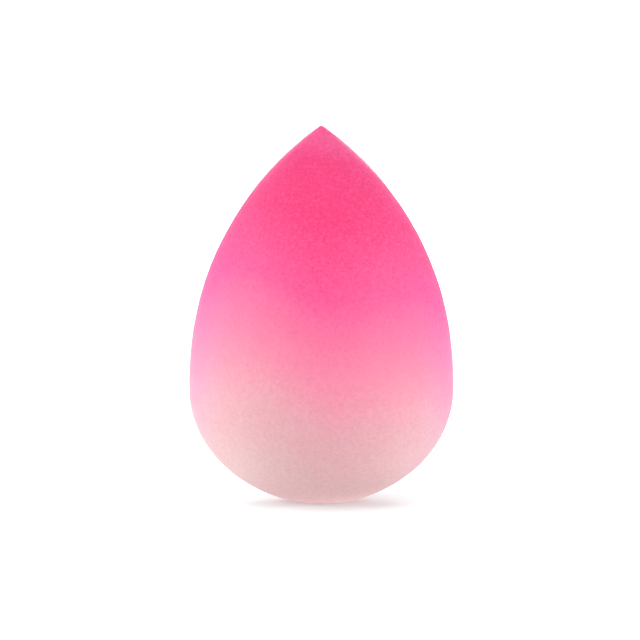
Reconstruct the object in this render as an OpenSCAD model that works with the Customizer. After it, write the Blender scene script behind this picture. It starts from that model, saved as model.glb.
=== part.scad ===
// Makeup sponge: one block of soft foam with a pointed tip and a full, rounded base.
// Its outline is a chain of arcs that run smoothly into each other, turned about the
// upright axis: tip, flank, shoulder and base. It stands on a small flat, where the foam
// presses on the table. The origin is the centre of that flat, and +Z points to the tip.

/* [Body] */
// Height from the flat that it stands on to the tip
sponge_h = 60; // [52:1:75]
// Width across the widest ring
sponge_d = 42; // [34:1:46]
// Height of the widest ring above the flat
belly_h = 20; // [17:0.5:24]

/* [Tip] */
// Radius of the rounded point
tip_r = 0.6; // [0.4:0.1:2]

/* [Underside] */
// Drop from the widest ring to where the flank turns into the shoulder
shoulder_drop = 2; // [0:0.5:3]
// Angle from the axis, seen from the base's centre, at which the base meets the shoulder
base_angle = 60; // [50:1:62]
// Depth of the rounded base that is pressed flat where the sponge stands
rest_depth = 0.4; // [0.2:0.1:1]

/* [Hidden] */
$fn = 180;

// Direction at an angle in the plane of the outline
function toward(angle) = [cos(angle), sin(angle)];

// The flank's circle has its centre level with the widest ring and holds the tip's circle
// inside it, touching, so its radius follows from the width and the two heights.
belly_r = sponge_d / 2;
tip_centre = [0, sponge_h - tip_r];
tip_rise = tip_centre.y - belly_h;
flank_r = (belly_r ^ 2 + tip_rise ^ 2 - tip_r ^ 2) / (2 * (belly_r - tip_r));
flank_centre = [belly_r - flank_r, belly_h];
tip_joint = flank_centre + flank_r * toward(atan2(tip_rise, -flank_centre.x));

// The shoulder takes over at the flank's foot and runs on into the base, whose centre is on
// the axis. The turn between the shoulder's two ends and the height under its upper end
// give one equation each, along X and along Z, for the two radii.
flank_foot_angle = -asin(shoulder_drop / flank_r);
flank_foot = flank_centre + flank_r * toward(flank_foot_angle);
foot_height = flank_foot.y + rest_depth;
base_end = toward(base_angle - 90);
shoulder_turn = toward(flank_foot_angle) - base_end;
base_rise = 1 + base_end.y;
divisor = shoulder_turn.y * base_end.x - shoulder_turn.x * base_rise;
shoulder_r = (foot_height * base_end.x - flank_foot.x * base_rise) / divisor;
base_r = (flank_foot.x * shoulder_turn.y - foot_height * shoulder_turn.x) / divisor;
shoulder_centre = flank_foot - shoulder_r * toward(flank_foot_angle);
base_centre = [0, base_r - rest_depth];
base_joint = base_centre + base_r * base_end;

// Height by which a smaller arc's band runs on past its joint, inside its neighbour
band_lap = 2;
// Width of the core, as a share of the outline at the joints, so that it stays inside
core_share = 0.95;

// Where two arcs touch, the smaller disc lies inside the larger one. Its band laps over the
// joint there, and the larger one's band stops at the joint.
function lap(radius, next_radius) = radius < next_radius ? band_lap : 0;

// The part of an arc's disc that lies between two heights, on the +X side of the axis
module band(centre, radius, low, high) {
    intersection() {
        translate(centre) circle(radius);
        translate([0, low]) square([sponge_d, high - low]);
    }
}

// The middle of the outline, which the discs that stand off the axis may leave open
module core() {
    scale([core_share, 1]) polygon([[0, 0], base_joint, flank_foot, tip_joint, [0, sponge_h]]);
}

// Half of the outline, from the flat up to the tip
module outline() {
    shoulder_low = base_joint.y - lap(shoulder_r, base_r);
    shoulder_high = flank_foot.y + lap(shoulder_r, flank_r);
    core();
    band(base_centre, base_r, 0, base_joint.y + lap(base_r, shoulder_r));
    band(shoulder_centre, shoulder_r, shoulder_low, shoulder_high);
    band(flank_centre, flank_r, flank_foot.y - lap(flank_r, shoulder_r), tip_joint.y);
    band(tip_centre, tip_r, tip_joint.y - tip_r, sponge_h);
}

module sponge() {
    color("#f25f97") rotate_extrude() outline();
}

sponge();
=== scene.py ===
# %% [markdown]
# Makeup sponge
#
# The object is one block of soft open-cell foam, ground to the shape of a drop: a pointed
# tip, a long curved flank, a full belly and a rounded base. It is dyed from the tip down, so
# a hot pink fades into the pale colour of the foam. Nothing is joined to it, so the lesson
# has one piece and puts all its care into three things: the outline, the skin of the foam
# and the way the dye fades.

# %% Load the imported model
import math

import bpy
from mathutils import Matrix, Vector


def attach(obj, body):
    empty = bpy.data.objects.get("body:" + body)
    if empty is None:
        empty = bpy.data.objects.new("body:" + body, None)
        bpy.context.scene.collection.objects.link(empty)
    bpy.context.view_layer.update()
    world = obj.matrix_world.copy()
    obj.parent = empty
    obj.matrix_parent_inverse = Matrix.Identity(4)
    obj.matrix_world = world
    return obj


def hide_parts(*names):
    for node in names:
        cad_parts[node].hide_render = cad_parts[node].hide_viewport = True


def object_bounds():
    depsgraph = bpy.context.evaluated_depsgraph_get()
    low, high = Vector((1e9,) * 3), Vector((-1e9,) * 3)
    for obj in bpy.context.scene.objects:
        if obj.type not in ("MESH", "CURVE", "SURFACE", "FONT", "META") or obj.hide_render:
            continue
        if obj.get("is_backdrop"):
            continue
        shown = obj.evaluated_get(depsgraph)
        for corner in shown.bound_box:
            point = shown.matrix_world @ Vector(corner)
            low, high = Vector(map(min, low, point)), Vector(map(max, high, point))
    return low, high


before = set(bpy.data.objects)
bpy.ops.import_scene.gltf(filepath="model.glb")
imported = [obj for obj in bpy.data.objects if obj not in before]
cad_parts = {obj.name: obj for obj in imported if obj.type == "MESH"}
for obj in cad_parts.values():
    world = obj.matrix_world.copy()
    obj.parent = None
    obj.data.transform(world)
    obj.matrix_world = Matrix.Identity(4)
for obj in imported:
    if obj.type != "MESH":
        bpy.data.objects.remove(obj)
cad_low, cad_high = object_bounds()
MM = 0.001
print("nodes:", list(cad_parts))
print("box of the solid, mm:", [round(side / MM, 2) for side in cad_high - cad_low])

# %% [markdown]
# Node trees written as sums
#
# Both the shape and the finish of this piece come from node trees. A tree drawn by hand soon
# turns into a web of Math nodes, so here one small class stands for the output of a node.
# Python's own operators then add the Math nodes, and `1 - mask` reads as it would on paper.
# Every other kind of node comes from one method, `node`, which sets the node up before it
# fills its sockets.

# %% A wire that can be used in sums
class Wire:
    """The output of one node in a tree. Its operators add the Math nodes they stand for."""

    def __init__(self, tree, socket=None):
        self.tree = tree
        self.socket = socket

    def node(self, kind, settings=None, inputs=None, out=0):
        """Adds a node, sets it up, and then fills its sockets with values or wires."""
        made = self.tree.nodes.new(kind)
        for name, value in (settings or {}).items():
            if name == "stops":
                set_stops(made.color_ramp, value)
            else:
                setattr(made, name, value)
        for name, value in (inputs or {}).items():
            socket = find_socket(made.inputs, name)
            if isinstance(value, Wire):
                self.tree.links.new(value.socket, socket)
            else:
                socket.default_value = value
        return Wire(self.tree, find_socket(made.outputs, out) if made.outputs else None)

    def math(self, operation, *operands):
        return self.node("ShaderNodeMath", {"operation": operation}, dict(enumerate(operands)))

    def __add__(self, other):
        return self.math("ADD", self, other)

    def __sub__(self, other):
        return self.math("SUBTRACT", self, other)

    def __rsub__(self, other):
        return self.math("SUBTRACT", other, self)

    def __mul__(self, other):
        return self.math("MULTIPLY", self, other)

    def __truediv__(self, other):
        return self.math("DIVIDE", self, other)

    def __rtruediv__(self, other):
        return self.math("DIVIDE", other, self)

    def __pow__(self, power):
        return self.math("POWER", self, power)

    def __rpow__(self, base):
        return self.math("POWER", base, self)

    __radd__ = __add__
    __rmul__ = __mul__

    def sine(self):
        return self.math("SINE", self)

    def cosine(self):
        return self.math("COSINE", self)

    def arcsine(self):
        return self.math("ARCSINE", self)

    def arctan2(self, run):
        return self.math("ARCTAN2", self, run)

    def at_least(self, floor):
        return self.math("MAXIMUM", self, floor)

    def at_most(self, ceiling):
        return self.math("MINIMUM", self, ceiling)

    def eased(self, low, high):
        """Turns low to high into 0 to 1, with a gentle start and end."""
        settings = {"interpolation_type": "SMOOTHSTEP"}
        return self.node(
            "ShaderNodeMapRange", settings, {"Value": self, "From Min": low, "From Max": high}
        )

    def vector(self, operation, inputs):
        """A Vector Math node, which also takes colours."""
        return self.node("ShaderNodeVectorMath", {"operation": operation}, inputs)

    def parts(self):
        """The X, Y and Z of a vector, or the red, green and blue of a colour."""
        split = self.node("ShaderNodeSeparateXYZ", inputs={0: self}).socket.node
        return [Wire(self.tree, output) for output in split.outputs]


def find_socket(sockets, name):
    """Finds a socket by its number, its identifier or its name."""
    if isinstance(name, int):
        return sockets[name]
    return next((s for s in sockets if s.identifier == name), None) or sockets[name]


def set_stops(ramp, stops):
    """Gives a colour ramp its stops, each a place from 0 to 1 and a colour."""
    while len(ramp.elements) < len(stops):
        ramp.elements.new(1.0)
    for element, (place, colour) in zip(ramp.elements, stops):
        element.position = place
        element.color = (*colour, 1.0)

# %% [markdown]
# The outline
#
# Such a sponge is ground on a spinning wheel, so its form is turned about the upright axis.
# The outline is a chain of arcs, each of which runs smoothly into the next: the flat that it
# rests on, the base, the shoulder, the long flank and the rounded tip. The height comes from
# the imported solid, and the rest are the same sizes that the solid was drawn from.
#
# An outline spun about an axis bunches its faces at both poles, and the skin pinches there.
# Here the mesh starts as a cube with many faces to a side. Each point is pushed out to a
# ball, and then carried to the outline by its angle from the bottom, so the poles are closed.
# The tip is rounded to little more than half a millimetre, so the points are drawn together
# there and at the flat, and stand wider apart along the calm flank.

# %% Sizes of the body
body_sizes = {
    "Height": cad_high.z - cad_low.z,
    "Width": 42 * MM,
    "Belly height": 20 * MM,
    "Tip radius": 0.6 * MM,
    "Shoulder drop": 2 * MM,
    "Base angle": math.radians(60),
    "Rest depth": 0.4 * MM,
}
print("sizes of the body, m or radians:", {n: round(v, 4) for n, v in body_sizes.items()})

# %% Arcs of the outline, each a radius and the angles where it starts and ends
def outline_arcs(size):
    """The arcs from the flat up to the tip, and the radius of the flat."""
    belly_r = size["Width"] / 2
    tip_r = size["Tip radius"]
    tip_rise = size["Height"] - tip_r - size["Belly height"]
    flank_r = (belly_r ** 2 + tip_rise ** 2 - tip_r ** 2) / (2 * (belly_r - tip_r))
    tip_angle = tip_rise.arctan2(flank_r - belly_r)
    foot_angle = 0 - (size["Shoulder drop"] / flank_r).arcsine()
    foot_x = belly_r - flank_r + flank_r * foot_angle.cosine()
    foot_z = size["Belly height"] - size["Shoulder drop"] + size["Rest depth"]

    # The base's centre is on the axis. The turn from the base's end to the flank's foot
    # gives one equation along X and one along Z for the two radii.
    base_angle = size["Base angle"] - math.pi / 2
    base_x = base_angle.cosine()
    base_rise = 1 + base_angle.sine()
    turn_x = foot_angle.cosine() - base_x
    turn_z = foot_angle.sine() - base_angle.sine()
    divisor = turn_z * base_x - turn_x * base_rise
    shoulder_r = (foot_z * base_x - foot_x * base_rise) / divisor
    base_r = (foot_x * turn_z - foot_z * turn_x) / divisor

    flat_r = (2 * base_r * size["Rest depth"] - size["Rest depth"] ** 2) ** 0.5
    flat_angle = (flat_r / base_r).arcsine() - math.pi / 2
    return flat_r, [
        (base_r, flat_angle, base_angle),
        (shoulder_r, base_angle, foot_angle),
        (flank_r, foot_angle, tip_angle),
        (tip_r, tip_angle, math.pi / 2),
    ]

# %% A walk along the outline
def walk_outline(flat_r, arcs, share):
    """Distance from the axis and height at a share of the way from the flat to the tip."""
    length = flat_r
    for radius, start, end in arcs:
        length = length + radius * (end - start)
    left = share * length
    x, z = left.at_most(flat_r), 0
    left = left - flat_r
    for radius, start, end in arcs:
        reach = radius * (end - start)
        angle = start + left.at_least(0).at_most(reach) / radius
        x = x + radius * (angle.cosine() - start.cosine())
        z = z + radius * (angle.sine() - start.sine())
        left = left - reach
    return x.at_least(0), z

# %% The body's tree, as far as the smooth form
tree = bpy.data.node_groups.new("ground foam body", "GeometryNodeTree")
tree.interface.new_socket(name="Geometry", in_out="OUTPUT", socket_type="NodeSocketGeometry")
tree.interface.new_socket(name="Points to a side", in_out="INPUT", socket_type="NodeSocketInt")
tree.interface.new_socket(name="Material", in_out="INPUT", socket_type="NodeSocketMaterial")
skin_sizes = {
    "Wobble": 0.09 * MM,
    "Wobble width": 9 * MM,
    "Dimple": 0.03 * MM,
    "Dimple width": 1.6 * MM,
    "Low fullness": 0.31 * MM,
    "Seed": 4,
}
for name in [*body_sizes, *skin_sizes]:
    tree.interface.new_socket(name=name, in_out="INPUT", socket_type="NodeSocketFloat")
group_input = tree.nodes.new("NodeGroupInput")
size = {output.name: Wire(tree, output) for output in group_input.outputs if output.name}

bare = Wire(tree)
points = size["Points to a side"]
cube = bare.node(
    "GeometryNodeMeshCube",
    inputs={"Size": (2, 2, 2), "Vertices X": points, "Vertices Y": points, "Vertices Z": points},
)
place = bare.node("GeometryNodeInputPosition")
turned_place = place.vector("SCALE", {0: place, "Scale": math.pi / 4})
ball_x, ball_y, ball_z = place.vector(
    "NORMALIZE", {0: place.vector("TANGENT", {0: turned_place})}
).parts()
ball_r = (ball_x * ball_x + ball_y * ball_y) ** 0.5
even_share = ball_r.arctan2(0 - ball_z) / math.pi
gather_ends = 0.6  # 0 leaves the points evenly spread, and nearly 1 crowds both ends
full_turn = 2 * math.pi
share = even_share - gather_ends / full_turn * (full_turn * even_share).sine()
x, z = walk_outline(*outline_arcs(size), share)
form = bare.node(
    "GeometryNodeSetPosition",
    inputs={
        "Geometry": cube,
        "Position": bare.node(
            "ShaderNodeCombineXYZ", inputs={0: x * ball_x / ball_r, 1: x * ball_y / ball_r, 2: z}
        ),
    },
)
print("nodes as far as the smooth form:", len(tree.nodes))

# %% [markdown]
# The skin of the foam
#
# Ground foam isn't as true as turned wood. The wheel tears at soft material, so the surface
# wavers a little and is covered with shallow dimples. Both are real shape here and not only
# shading, so the edge of the sponge shows them too. They fade out towards the flat, where
# the weight of the sponge presses the foam level, and towards the tip, which is finer than
# the dimples are.
#
# The cells themselves are far finer than the faces of the mesh, so they come later, from the
# material.
#
# Set beside the photograph, the arcs turned out a little too slim just above the rounded base.
# The skin makes up for it with about a third of a millimetre of fullness all round, which eases
# in from the flat and out again a little above the widest ring.

# %% Soft random values
def clouds(place, width, seed, detail=1.0):
    """Random values around zero, about half up and half down, in patches of this width."""
    noise = place.node(
        "ShaderNodeTexNoise",
        {"noise_dimensions": "4D"},
        {"Vector": place, "W": seed, "Scale": 1 / width, "Detail": detail},
    )
    return noise - 0.5

# %% Relief on the smooth form, and the end of the tree
rest_fade = 3 * MM
tip_fade = 4 * MM
full_low, full_high, full_end = 8 * MM, 9 * MM, 24 * MM
surface = bare.node("GeometryNodeInputPosition")
height = surface.parts()[2]
wobble = size["Wobble"] * clouds(surface, size["Wobble width"], size["Seed"])
dimples = size["Dimple"] * clouds(surface, size["Dimple width"], size["Seed"] + 1)
below_tip = size["Height"] - height
ends_fade = height.eased(0, rest_fade) * below_tip.eased(0, tip_fade)
both_ways = 2  # the clouds reach half a unit up and down, and the relief reaches a whole one
relief = both_ways * (wobble + dimples) * ends_fade
below_full_end = 1 - height.eased(full_high, full_end)
fullness = size["Low fullness"] * height.eased(0, full_low) * below_full_end
outward = bare.node("GeometryNodeInputNormal")
skin = bare.node(
    "GeometryNodeSetPosition",
    inputs={
        "Geometry": form,
        "Offset": outward.vector("SCALE", {0: outward, "Scale": relief + fullness}),
    },
)
smooth = bare.node("GeometryNodeSetShadeSmooth", inputs={"Geometry": skin, "Shade Smooth": True})
real = bare.node("GeometryNodeRealizeInstances", inputs={"Geometry": smooth})
dressed = bare.node(
    "GeometryNodeSetMaterial", inputs={"Geometry": real, "Material": size["Material"]}
)
tree.links.new(dressed.socket, tree.nodes.new("NodeGroupOutput").inputs[0])
print("nodes in the whole tree:", len(tree.nodes))

# %% A plain mesh from the tree
foam = bpy.data.materials.new("dip_dyed_foam")
maker = bpy.data.objects.new("sponge_maker", bpy.data.meshes.new("sponge_maker"))
bpy.context.scene.collection.objects.link(maker)
modifier = maker.modifiers.new("ground foam body", "NODES")
modifier.node_group = tree
choices = {"Points to a side": 129, "Material": foam, **body_sizes, **skin_sizes}
for item in tree.interface.items_tree:
    if item.in_out == "INPUT":
        modifier[item.identifier] = choices[item.name]

evaluated = maker.evaluated_get(bpy.context.evaluated_depsgraph_get())
body_mesh = bpy.data.meshes.new_from_object(evaluated)
body_mesh.name = "sponge_body"
body_mesh.materials.pop(index=0)  # the cube came with an empty slot before the foam's
maker.modifiers.clear()
bpy.data.objects.remove(maker)
sponge = bpy.data.objects.new("sponge_body", body_mesh)
bpy.context.scene.collection.objects.link(sponge)
triangles = sum(len(face.vertices) - 2 for face in body_mesh.polygons)
print("triangles:", triangles, "materials:", [m.name for m in body_mesh.materials])

# %% [markdown]
# Dip-dyed foam
#
# The foam itself is a pale pinkish beige. The sponge is dyed from the tip down, and the dye
# creeps into the foam like water into a cloth, so the colour has no edge: it fades over more
# than half of the height. The front of the dye isn't level. It is lower on one side, as if the
# sponge had been dipped askew, and it hangs down in the middle of the front and back and again
# round both sides. The foot is painted a little paler than the foam above it, as painted light
# that lifts the shade where the base meets the table. The very tip is a little paler too.
#
# A picture of the fade could be wrapped round the body, but it would need an image. A colour
# ramp along the height does it with a few stops. Lean, hang and sag are added to the height
# before the ramp reads it, and noise moves it a little more at each point, which makes the
# front of the dye uneven.

# %% How far the dye leans, hangs and sags
foam.use_nodes = True
foam.node_tree.nodes.clear()
ground = Wire(foam.node_tree)
place = ground.node("ShaderNodeTexCoord", out="Object")
across, deep, height = place.parts()

dye_lean, lean_reach = 4.3 * MM, 11 * MM
lean = dye_lean * (across.eased(-lean_reach, lean_reach) - 0.5)
dye_hang, hang_width = 2.7 * MM, 7.1 * MM
off_middle = across / hang_width
hang = dye_hang * math.e ** (0 - off_middle * off_middle)

# Sideways is 0 in the middle of the front and back, and 1 in the middle of both sides. The
# least value keeps the division sound on the axis itself.
from_axis_squared = (across * across + deep * deep).at_least(MM * MM)
sideways = across * across / from_axis_squared
dye_sag, sag_start = 3 * MM, 0.64
sag = dye_sag * sideways.eased(sag_start, 1)
print("lean, hang and sag of the dye, mm:", [v / MM for v in (dye_lean, dye_hang, dye_sag)])

# %% The height that the dye reached, as a share of the sponge's
dye_seed = 7
dye_wander, wander_width = 2.2 * MM, 14 * MM
dye_creep, creep_width = 1.2 * MM, 0.8 * MM
wander = dye_wander * clouds(place, wander_width, dye_seed, detail=2)
creep = dye_creep * clouds(place, creep_width, dye_seed + 1)
dye_height = height + lean + hang + sag + wander + creep
dye_place = dye_height / body_sizes["Height"]
print("nodes up to the height of the dye:", len(foam.node_tree.nodes))

# %% The colours from the undyed base to the tip
# Painted light: the foot is paler than the foam above it, to lift the shade where the base meets
# the table
painted_light_foot = (0.80, 0.55, 0.56)
plain_foam = (0.76, 0.52, 0.52)
blush = (0.80, 0.44, 0.49)
light_pink = (0.90, 0.28, 0.42)
bright_pink = (0.91, 0.11, 0.34)
hot_pink = (0.92, 0.05, 0.24)
tip_pink = (0.94, 0.10, 0.32)
dye_stops = [
    (0.0, painted_light_foot),
    (0.1, plain_foam),
    (0.25, blush),
    (0.4, light_pink),
    (0.6, bright_pink),
    (0.8, hot_pink),
    (0.95, hot_pink),
    (1.0, tip_pink),
]
dye = ground.node(
    "ShaderNodeValToRGB", {"stops": dye_stops}, {"Fac": dye_place}, out="Color"
)
print("stops of the dye:", len(dye_stops))

# %% [markdown]
# Open cells
#
# A cut through foam opens its cells, so the skin is full of tiny pits with thin walls between
# them. Close up each pit is a small hole, and the shade in it is painted: the material darkens
# it. From a step away they merge into a fine even grain that makes the surface dull and
# velvety. Cells are what a Voronoi texture draws: the distance to the nearest of many scattered
# points. It works in three dimensions and needs no unwrapping, so the grain has no seam
# anywhere.
# The walls between the pits are drawn by noise, a little wider than tall, because the grinding
# wheel drags them round.
#
# The grain is also one of colour. Red light travels the furthest inside foam and evens out, so
# the plain foam shows its grain more in green and blue. In the strongly dyed part some cell
# walls are a thin, cool pink, partly uneven dye and partly painted glints on the walls, and the
# pits are a deeper pink, which is painted shade in them. Round both sides the thin end of the
# fade is a touch cooler, which is a painted sheen.

# %% Pits, and the grain of the walls between them
cell_width = 0.55 * MM
cell_inputs = {"Vector": place, "Scale": 1 / cell_width}
cell_distance = ground.node("ShaderNodeTexVoronoi", inputs=cell_inputs, out="Distance")
cell_chance = ground.node("ShaderNodeTexVoronoi", inputs=cell_inputs, out="Color").parts()[0]
pit_middle, pit_rim = 0.1, 0.7  # distances from the middle of a cell, in cells
shallowest_pit = 0.5
pit_depth = shallowest_pit + (1 - shallowest_pit) * cell_chance
pit = (1 - cell_distance.eased(pit_middle, pit_rim)) * pit_depth

grain_width, grain_seed = 0.46 * MM, 9
drag = (0.8, 0.8, 1.1)
grain = clouds(place.vector("MULTIPLY", {0: place, 1: drag}), grain_width, grain_seed, detail=2)
print("widths of a cell and of the grain, mm:", cell_width / MM, grain_width / MM)

# %% Light and dark in the grain
dyed_from, dyed_full = 0.4, 0.8  # shares of the height, like the next two
plain_below, plain_end = 0.25, 0.6
dyed = dye_place.eased(dyed_from, dyed_full)
plain = 1 - dye_place.eased(plain_below, plain_end)
# Painted shade: a pit is darkened by this share
pit_shade = 0.05
plain_grain_shade = 0.15
dyed_grain_shade = 0.08
plain_cool_shade = 0.17
red_shade = 1 - pit_shade * pit + (plain_grain_shade + dyed_grain_shade * dyed) * grain
cool_shade = red_shade + plain_cool_shade * plain * grain
shade = ground.node(
    "ShaderNodeCombineXYZ", inputs={0: red_shade, 1: cool_shade, 2: cool_shade}
)
print("a pit is darker by:", pit_shade)

# %% Mixing two colours
def blend(share, first, second, blend_type="MIX"):
    """The first colour where the share is 0, and the second, or both blended, where it is 1."""
    return share.node(
        "ShaderNodeMix",
        {"data_type": "RGBA", "blend_type": blend_type},
        {"Factor_Float": share, "A_Color": first, "B_Color": second},
        out="Result_Color",
    )

# %% The colour of the dyed foam, cell by cell
# Cell walls where the grain is high take a paler, cool pink: partly uneven dye, partly painted
# glints
wall_glint_pink = (0.82, 0.5, 0.78, 1.0)
wall_glint_base = 0.005
wall_glint_spread = 0.3
wall_glint = ((wall_glint_base + wall_glint_spread * grain) * dyed).at_least(0)
glinting_dye = blend(wall_glint, dye, wall_glint_pink)

# Painted shade in the pits: a dyed pit takes this share of a deeper pink
pit_shade_share = 0.35
deep_pink = (0.96, 0.02, 0.13, 1.0)
pit_shaded_dye = blend(pit_shade_share * dyed * pit, glinting_dye, deep_pink)

# Painted sheen: in the thin part of the fade, both sides are tinted a touch cooler, as a lilac
# sheen makes them look
painted_sheen_tint = (0.95, 0.97, 1.08, 1.0)
sheen_band_from, sheen_band_full = 0.1, 0.35  # shares of the height
side_from, side_full = 0.45, 0.9
sheen_band = dye_place.eased(sheen_band_from, sheen_band_full) * (1 - dyed)
sheen_sides = sheen_band * sideways.eased(side_from, side_full)
sheened_dye = blend(sheen_sides, pit_shaded_dye, painted_sheen_tint, "MULTIPLY")
colour = dye.vector("MULTIPLY", {0: sheened_dye, 1: shade})
print("share of the deep pink in a dyed pit:", pit_shade_share)

# %% The finish of the foam
wall_roughness, pit_roughness = 0.56, 0.1
bump_height, bump_strength, pit_bump = 0.08 * MM, 0.6, 0.5
light_reach = 3 * MM
reach_of_colours = (1.0, 0.6, 0.6)  # red light travels the furthest
sheen = 0.27
bump = ground.node(
    "ShaderNodeBump",
    inputs={
        "Height": grain - pit_bump * pit,
        "Distance": bump_height,
        "Strength": bump_strength,
    },
)
shader = ground.node(
    "ShaderNodeBsdfPrincipled",
    inputs={
        "Base Color": colour,
        "Roughness": wall_roughness + pit_roughness * pit,
        "Normal": bump,
        "Subsurface Weight": 1.0,
        "Subsurface Radius": reach_of_colours,
        "Subsurface Scale": light_reach,
        "Specular IOR Level": sheen,
    },
)
ground.node("ShaderNodeOutputMaterial", inputs={"Surface": shader})
print("nodes in the foam's material:", len(foam.node_tree.nodes))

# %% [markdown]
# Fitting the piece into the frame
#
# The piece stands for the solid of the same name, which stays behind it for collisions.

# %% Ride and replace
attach(sponge, "root")
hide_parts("sponge")
print("placed:", sponge.name)

# %% [markdown]
# The studio
#
# The sponge stands on a white sweep that shows only its own soft shadow. The floor and the
# world are white because they say so to the camera, not because strong lamps burn them out:
# Light Path tells whether a ray comes from the eye or from a reflection, and only those rays
# get the added white. Close to the sponge that white is held back in a patch set a little to
# the right and stretched towards the camera, so the shadow is partly real and partly a painted
# shadow. The lamps stay at the level at which a colour renders as it is written.
#
# On a lit table a little light also comes from below, and pale foam lets it through. All other
# rays find that light in the sheet: a faint one everywhere, and a small brighter patch right
# under the base, which the eye never sees. Where the sheet's white is held back it is also a
# touch cooler, a painted tint of the shadow, or the pink that the sponge throws on it would
# colour the shadow too much.

# %% Rays that see the white backdrop
def seen_directly(wire):
    """1 for rays from the camera, and for those that reflect it or pass through, else 0."""
    path = wire.node("ShaderNodeLightPath").socket.node.outputs
    camera, glossy, through = (
        Wire(wire.tree, path[name])
        for name in ("Is Camera Ray", "Is Glossy Ray", "Is Transmission Ray")
    )
    return (camera + glossy + through).at_most(1)

# %% The sheet that the sponge stands on
floor_half = 12.0
floor_mesh = bpy.data.meshes.new("studio_floor")
corners = [(-1, -1), (1, -1), (1, 1), (-1, 1)]
floor_points = [(floor_half * i, floor_half * j, 0) for i, j in corners]
floor_mesh.from_pydata(floor_points, [], [(0, 1, 2, 3)])
floor = bpy.data.objects.new("studio_floor", floor_mesh)
bpy.context.scene.collection.objects.link(floor)
print("side of the sheet, m:", 2 * floor_half)

# %% Distances on the sheet
paper = bpy.data.materials.new("white_sweep")
paper.use_nodes = True
paper.node_tree.nodes.clear()
sheet = Wire(paper.node_tree)
sheet_x, sheet_y, _ = sheet.node("ShaderNodeTexCoord", out="Object").parts()


def sheet_distance(middle_x, squash=1.0):
    """Distance from a point at this X on the sheet. With a squash below 1, depth counts less."""
    off_middle = sheet_x - middle_x
    return (off_middle * off_middle + squash * sheet_y * sheet_y) ** 0.5


spot_x, shadow_x, shadow_squash = 1 * MM, 1.4 * MM, 0.4
from_sponge = sheet_distance(0)
from_spot = sheet_distance(spot_x)
from_shadow = sheet_distance(shadow_x, shadow_squash)
print("middles of the spot and the shadow, mm:", spot_x / MM, shadow_x / MM)

# %% The light that the sheet gives, and the white that the eye sees
table_light = 0.16
spot_light = 0.34
spot_inner, spot_outer = 4 * MM, 12 * MM
light = table_light + spot_light * (1 - from_spot.eased(spot_inner, spot_outer))

contact_white = 0.09
near_white = 0.42
far_white = 0.6
# Painted shadow: close to the sponge the white that the eye sees is held back in this patch, off
# to the right and stretched in depth, over the real shadow in the matt sheet
shadow_inner, shadow_outer = 4 * MM, 21 * MM
far_inner, far_outer = 30 * MM, 1000 * MM
near = near_white * from_shadow.eased(shadow_inner, shadow_outer)
far = far_white * from_sponge.eased(far_inner, far_outer)
white = contact_white + near + far
print("white of the sheet at the contact and far away:", contact_white, near_white + far_white)

# %% Sheet material
seen = seen_directly(sheet)
strength = light * (1 - seen) + white * seen
tint_inner, tint_outer = 12 * MM, 30 * MM
# Painted shadow colour: near the sponge the white that the eye sees is tinted cooler
shadow_tint = (0.76, 1, 0.96, 1)
pure_white = (1, 1, 1, 1)
paper_colour = (0.82, 0.85, 0.86, 1)
untinted = 1 - seen * (1 - from_sponge.eased(tint_inner, tint_outer))
glow_inputs = {"Color": blend(untinted, shadow_tint, pure_white), "Strength": strength}
glow = sheet.node("ShaderNodeEmission", inputs=glow_inputs)
matt = sheet.node("ShaderNodeBsdfDiffuse", inputs={"Color": paper_colour})
both = sheet.node("ShaderNodeAddShader", inputs={0: matt, 1: glow})
sheet.node("ShaderNodeOutputMaterial", inputs={"Surface": both})
floor_mesh.materials.append(paper)
floor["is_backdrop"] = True
print("nodes in the sheet's material:", len(paper.node_tree.nodes))

# %% World
world = bpy.data.worlds.new("white_room")
bpy.context.scene.world = world
world.use_nodes = True
world.node_tree.nodes.clear()
room = Wire(world.node_tree)
room_light = 0.2
strength = room_light + (1 - room_light) * seen_directly(room)
sky = room.node("ShaderNodeBackground", inputs={"Color": pure_white, "Strength": strength})
room.node("ShaderNodeOutputWorld", inputs={"Surface": sky})
print("light of the room:", room_light)

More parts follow.
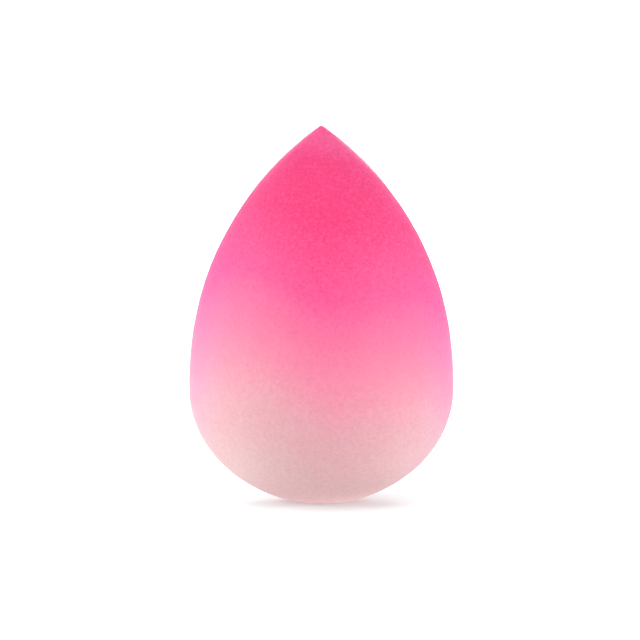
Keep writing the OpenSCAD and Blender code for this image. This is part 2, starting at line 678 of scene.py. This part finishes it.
# %% Directions round the sponge
def toward(azimuth, elevation):
    """A direction from the sponge. Azimuth 0 is the camera's side, and 90 its right side."""
    turn, rise = math.radians(azimuth), math.radians(elevation)
    return Vector(
        (math.sin(turn) * math.cos(rise), -math.cos(turn) * math.cos(rise), math.sin(rise))
    )

# %% Softboxes
middle = (cad_low + cad_high) / 2


def add_softbox(name, light, azimuth, elevation=15, width=0.8, distance=1.2):
    """A square lamp that faces the sponge and lights a surface that faces it to this level.

    Its place is given in degrees, and its width and distance in metres.
    """
    lamp = bpy.data.lights.new(name, "AREA")
    lamp.size = width
    lamp.energy = light * math.pi * math.pi * distance ** 2
    softbox = bpy.data.objects.new(name, lamp)
    direction = toward(azimuth, elevation)
    softbox.location = middle + distance * direction
    softbox.rotation_euler = direction.to_track_quat("Z", "Y").to_euler()
    softbox.visible_camera = False
    bpy.context.scene.collection.objects.link(softbox)


add_softbox("softbox_fore_left", light=0.60, azimuth=-60)
add_softbox("softbox_fore_right", light=0.73, azimuth=60)
add_softbox("softbox_left", light=0.28, azimuth=-90)
add_softbox("softbox_right", light=0.08, azimuth=90)
add_softbox("softbox_back", light=0.65, azimuth=180, elevation=20, width=0.5)
add_softbox("softbox_top", light=0.13, azimuth=0, elevation=75)
print("softboxes:", len(bpy.data.lights))

# %% [markdown]
# The camera
#
# The photograph shows the sponge from just above the table and almost without perspective, as
# a long lens does. The camera looks along +Y from a metre away and tips down a few degrees.

# %% Camera
camera_distance = 1.0
camera_rise = 3.5  # degrees
view_width = 102.1 * MM  # what the picture is wide, at the sponge
aim = Vector((-0.22 * MM, 0, 29.0 * MM))
camera_data = bpy.data.cameras.new("camera")
camera_data.lens = camera_data.sensor_width * camera_distance / view_width
camera_data.clip_end = 100
camera = bpy.data.objects.new("camera", camera_data)
look = toward(0, camera_rise)
camera.location = aim + camera_distance * look
camera.rotation_euler = look.to_track_quat("Z", "Y").to_euler()
bpy.context.scene.collection.objects.link(camera)
bpy.context.scene.camera = camera
bpy.context.scene.view_settings.view_transform = "Standard"
print("lens, mm:", round(camera_data.lens, 1))

# %% Size of what was made, beside the solid's
made_low, made_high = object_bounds()
growth = (made_high - made_low) - (cad_high - cad_low)
print("grown by, mm:", [round(side / MM, 2) for side in growth])
